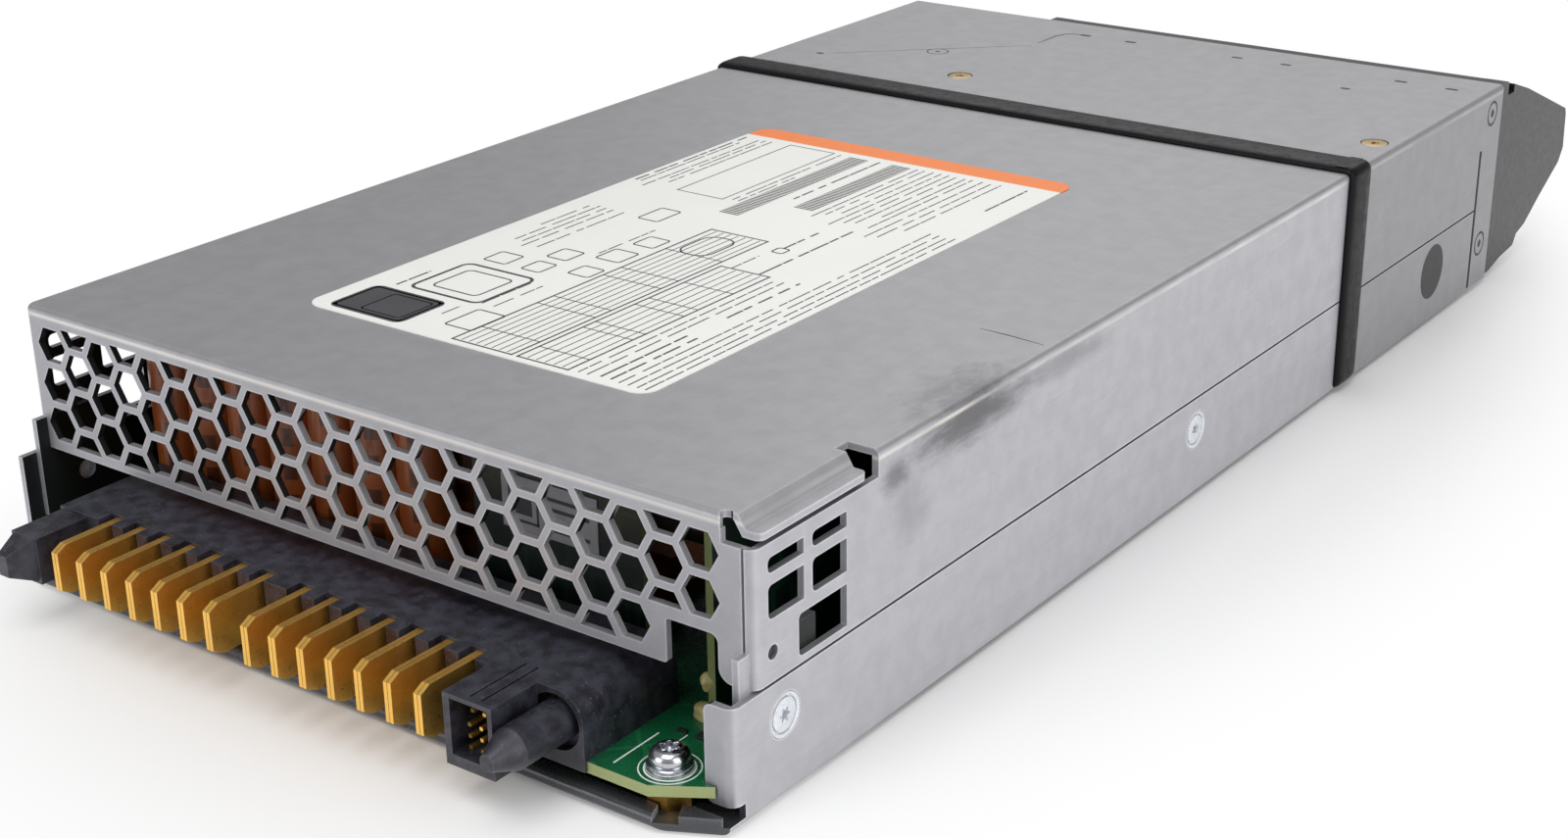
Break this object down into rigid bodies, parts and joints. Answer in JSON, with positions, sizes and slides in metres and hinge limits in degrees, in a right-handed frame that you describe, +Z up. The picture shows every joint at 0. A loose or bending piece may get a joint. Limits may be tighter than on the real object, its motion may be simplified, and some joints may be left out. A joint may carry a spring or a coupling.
{
  "type": "hot swap server power supply",
  "caption": "Flat sheet-metal server power supply with a honeycomb face, blade connector, twin fans, grab handle and sprung release latch.",
  "frame": {"origin": "on the underside of the base tray, at mid width, in the plane of the honeycomb face", "axes": "+Z up, +Y from the connector end to the handle end, +X across the case to the right as seen from behind the handle"},
  "size_m": [0.1385, 0.3065, 0.041],
  "materials": {
    "side_steel": "zinc plated, satin",
    "case_steel": "zinc plated, satin",
    "band_foam": "matt black",
    "screw_steel": "nickel plated",
    "gold_zinc": "yellow passivated",
    "board_green": "green solder mask",
    "film_black": "black film",
    "brass_stud": "turned",
    "connector_plastic": "moulded, satin",
    "gold_plate": "gold flashed",
    "tag_paper": "plain grey",
    "sleeve_brown": "shrink sleeve",
    "copper_bar": "bare copper",
    "sink_aluminium": "extruded",
    "ferrite": "sintered",
    "winding_tape": "yellow tape",
    "sleeve_black": "shrink sleeve",
    "copper_winding": "enamelled wire",
    "block_yellow": "moulded box",
    "relay_black": "moulded",
    "fuse_ceramic": "plain",
    "inlet_plastic": "moulded",
    "pin_nickel": "nickel plated",
    "fan_plastic": "moulded",
    "guard_steel": "plated wire",
    "bezel_plastic": "moulded, fine grain",
    "latch_steel": "spring steel",
    "grip_plastic": "moulded",
    "light_lens": "diffusing lens",
    "label_film": "matt film"
  },
  "bodies": {
    "case": {"base_tray": "side_steel", "top_cover": "case_steel", "end_cover": "case_steel", "end_plate": "case_steel", "sealing_band": "band_foam", "side_screws": "screw_steel", "cover_screws": "gold_zinc", "plate_rivets": "screw_steel", "main_board": "board_green", "insulating_film": "film_black", "board_studs": "brass_stud", "board_screws": "screw_steel", "connector_shell": "connector_plastic", "power_blades": "gold_plate", "signal_pins": "gold_plate", "signal_card": "board_green", "control_card": "board_green", "card_tag": "tag_paper", "output_capacitors": "sleeve_brown", "output_busbars": "copper_bar", "rectifier_heatsink": "sink_aluminium", "transformer_cores": "ferrite", "transformer_windings": "winding_tape", "bulk_capacitors": "sleeve_black", "boost_choke": "copper_winding", "bridge_heatsink": "sink_aluminium", "filter_chokes": "copper_winding", "filter_capacitors": "block_yellow", "line_relay": "relay_black", "line_fuse": "fuse_ceramic", "ac_inlet": "inlet_plastic", "inlet_pins": "pin_nickel", "fan_frame_left": "fan_plastic", "fan_frame_right": "fan_plastic", "finger_guard_left": "guard_steel", "finger_guard_right": "guard_steel", "fan_screws": "screw_steel", "bezel_handle": "bezel_plastic", "latch_pin": "screw_steel", "latch_bracket": "case_steel", "latch_spring": "latch_steel", "status_light": "light_lens", "rating_label": "label_film"},
    "rotor_left": {"fan_rotor_left": "fan_plastic"},
    "rotor_right": {"fan_rotor_right": "fan_plastic"},
    "latch": {"latch_arm": "latch_steel", "latch_grip": "grip_plastic"}
  },
  "joints": [
    {"name": "fan_left_spin", "type": "hinge", "parent": "case", "child": "rotor_left", "pos_m": [-0.004, 0.227, 0.02], "axis": [0, 1, 0], "continuous": true},
    {"name": "fan_right_spin", "type": "hinge", "parent": "case", "child": "rotor_right", "pos_m": [0.038, 0.227, 0.02], "axis": [0, 1, 0], "continuous": true},
    {"name": "latch_press", "type": "hinge", "parent": "case", "child": "latch", "pos_m": [-0.0644, 0.206, 0.024], "axis": [0, 0, -1], "range_deg": [0, 4.2], "stiffness_Nm_per_rad": 0.2, "deforming": ["latch_spring"]}
  ]
}
